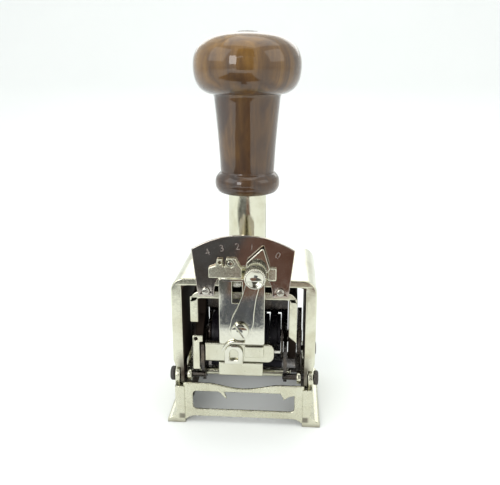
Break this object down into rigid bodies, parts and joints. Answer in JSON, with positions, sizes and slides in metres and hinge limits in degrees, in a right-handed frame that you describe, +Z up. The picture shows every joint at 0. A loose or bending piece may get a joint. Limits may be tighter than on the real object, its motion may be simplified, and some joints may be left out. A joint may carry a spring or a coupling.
{
  "type": "automatic hand numbering machine",
  "caption": "Hand-held numbering stamp: a wooden-handled plunger drives a sprung carriage of number wheels, a feed linkage and an ink pad in a steel frame.",
  "frame": {"origin": "centre of the outline seen from above, on the surface that the base stands on", "axes": "+Z up along the plunger, front with the dial faces -Y, +X to the right seen from the front"},
  "size_m": [0.0604, 0.0542, 0.149],
  "materials": {
    "nickel": "bright nickel plate with a faint yellow tint",
    "dark_nickel": "dark polished nickel",
    "steel": "plain steel",
    "dark_steel": "blued steel",
    "inked_brass": "blackened with ink",
    "varnished_wood": "glossy brown varnish",
    "felt": "ink-soaked felt",
    "fibre": "vulcanised fibre"
  },
  "bodies": {
    "stand": {"base_frame": "nickel", "outer_frame": "nickel", "guide_bush": "nickel", "spring_cross_pin": "steel", "front_pin_left": "dark_steel", "front_pin_right": "dark_steel", "rear_pin_left": "dark_steel", "rear_pin_right": "dark_steel", "front_pin_ring_left": "nickel", "front_pin_ring_right": "nickel", "return_spring": "steel"},
    "plunger": {"wooden_handle": "varnished_wood", "handle_plug": "dark_steel", "plunger_tube": "nickel", "tube_plug": "steel", "stop_collar": "fibre", "inner_frame": "nickel", "wheel_shaft": "steel", "shaft_spacer_left": "steel", "shaft_spacer_right": "steel", "detent_rod": "steel", "detent_comb": "dark_steel", "back_plate": "dark_steel", "dial_plate": "dark_nickel", "dial_screw_left": "steel", "dial_screw_right": "steel", "front_plate": "nickel", "pivot_screw": "nickel", "bridge": "nickel", "bridge_stud": "nickel", "pointer_stop": "nickel", "slot_spring": "steel", "leaf_spring": "steel"},
    "pointer": {"pointer_lever": "nickel"},
    "selector": {"selector_knob": "nickel"},
    "feed_swing": {"swing_arm_left": "dark_steel", "swing_arm_right": "dark_steel", "tie_rod": "nickel", "swing_bar": "nickel", "pawl_block": "nickel", "pawl_lug": "nickel", "pawl_cover": "nickel", "side_bracket": "nickel", "feed_pawl": "steel"},
    "ink_carrier": {"ink_arm_left": "dark_steel", "ink_arm_right": "dark_steel", "ink_tray": "dark_steel", "ink_pad": "felt"},
    "wheel_1": {"number_wheel_1": "inked_brass"},
    "wheel_2": {"number_wheel_2": "inked_brass"},
    "wheel_3": {"number_wheel_3": "inked_brass"},
    "wheel_4": {"number_wheel_4": "inked_brass"},
    "wheel_5": {"number_wheel_5": "inked_brass"},
    "wheel_6": {"number_wheel_6": "inked_brass"}
  },
  "joints": [
    {"name": "plunger_slide", "type": "slide", "parent": "stand", "child": "plunger", "axis": [0, 0, -1], "range_m": [0, 0.0187], "stiffness_N_per_m": 600, "springref_m": -0.02, "deforming": ["return_spring"]},
    {"name": "wheel_1_spin", "type": "hinge", "parent": "plunger", "child": "wheel_1", "pos_m": [0, 0.0036, 0.0292], "axis": [1, 0, 0], "continuous": true},
    {"name": "wheel_2_spin", "type": "hinge", "parent": "plunger", "child": "wheel_2", "pos_m": [0, 0.0036, 0.0292], "axis": [1, 0, 0], "continuous": true},
    {"name": "wheel_3_spin", "type": "hinge", "parent": "plunger", "child": "wheel_3", "pos_m": [0, 0.0036, 0.0292], "axis": [1, 0, 0], "continuous": true},
    {"name": "wheel_4_spin", "type": "hinge", "parent": "plunger", "child": "wheel_4", "pos_m": [0, 0.0036, 0.0292], "axis": [1, 0, 0], "continuous": true},
    {"name": "wheel_5_spin", "type": "hinge", "parent": "plunger", "child": "wheel_5", "pos_m": [0, 0.0036, 0.0292], "axis": [1, 0, 0], "continuous": true},
    {"name": "wheel_6_spin", "type": "hinge", "parent": "plunger", "child": "wheel_6", "pos_m": [0, 0.0036, 0.0292], "axis": [1, 0, 0], "continuous": true},
    {"name": "pointer_turn", "type": "hinge", "parent": "plunger", "child": "pointer", "pos_m": [-0.00085, -0.0192, 0.0418], "axis": [0, 1, 0], "range_deg": [-41, 11]},
    {"name": "selector_pull", "type": "slide", "parent": "pointer", "child": "selector", "axis": [0, -1, 0], "range_m": [0, 0.0015], "stiffness_N_per_m": 600, "springref_m": -0.001},
    {"name": "feed_swing_turn", "type": "hinge", "parent": "plunger", "child": "feed_swing", "pos_m": [0, 0.0036, 0.0292], "axis": [-1, 0, 0], "range_deg": [0, 60]},
    {"name": "ink_carrier_turn", "type": "hinge", "parent": "plunger", "child": "ink_carrier", "pos_m": [0, 0.0036, 0.0292], "axis": [1, 0, 0], "range_deg": [0, 86]}
  ],
  "couplings": [
    {"joint": "feed_swing_turn", "follows": "plunger_slide", "rad_per_m": 55.879},
    {"joint": "ink_carrier_turn", "follows": "plunger_slide", "rad_per_m": 80.193}
  ]
}
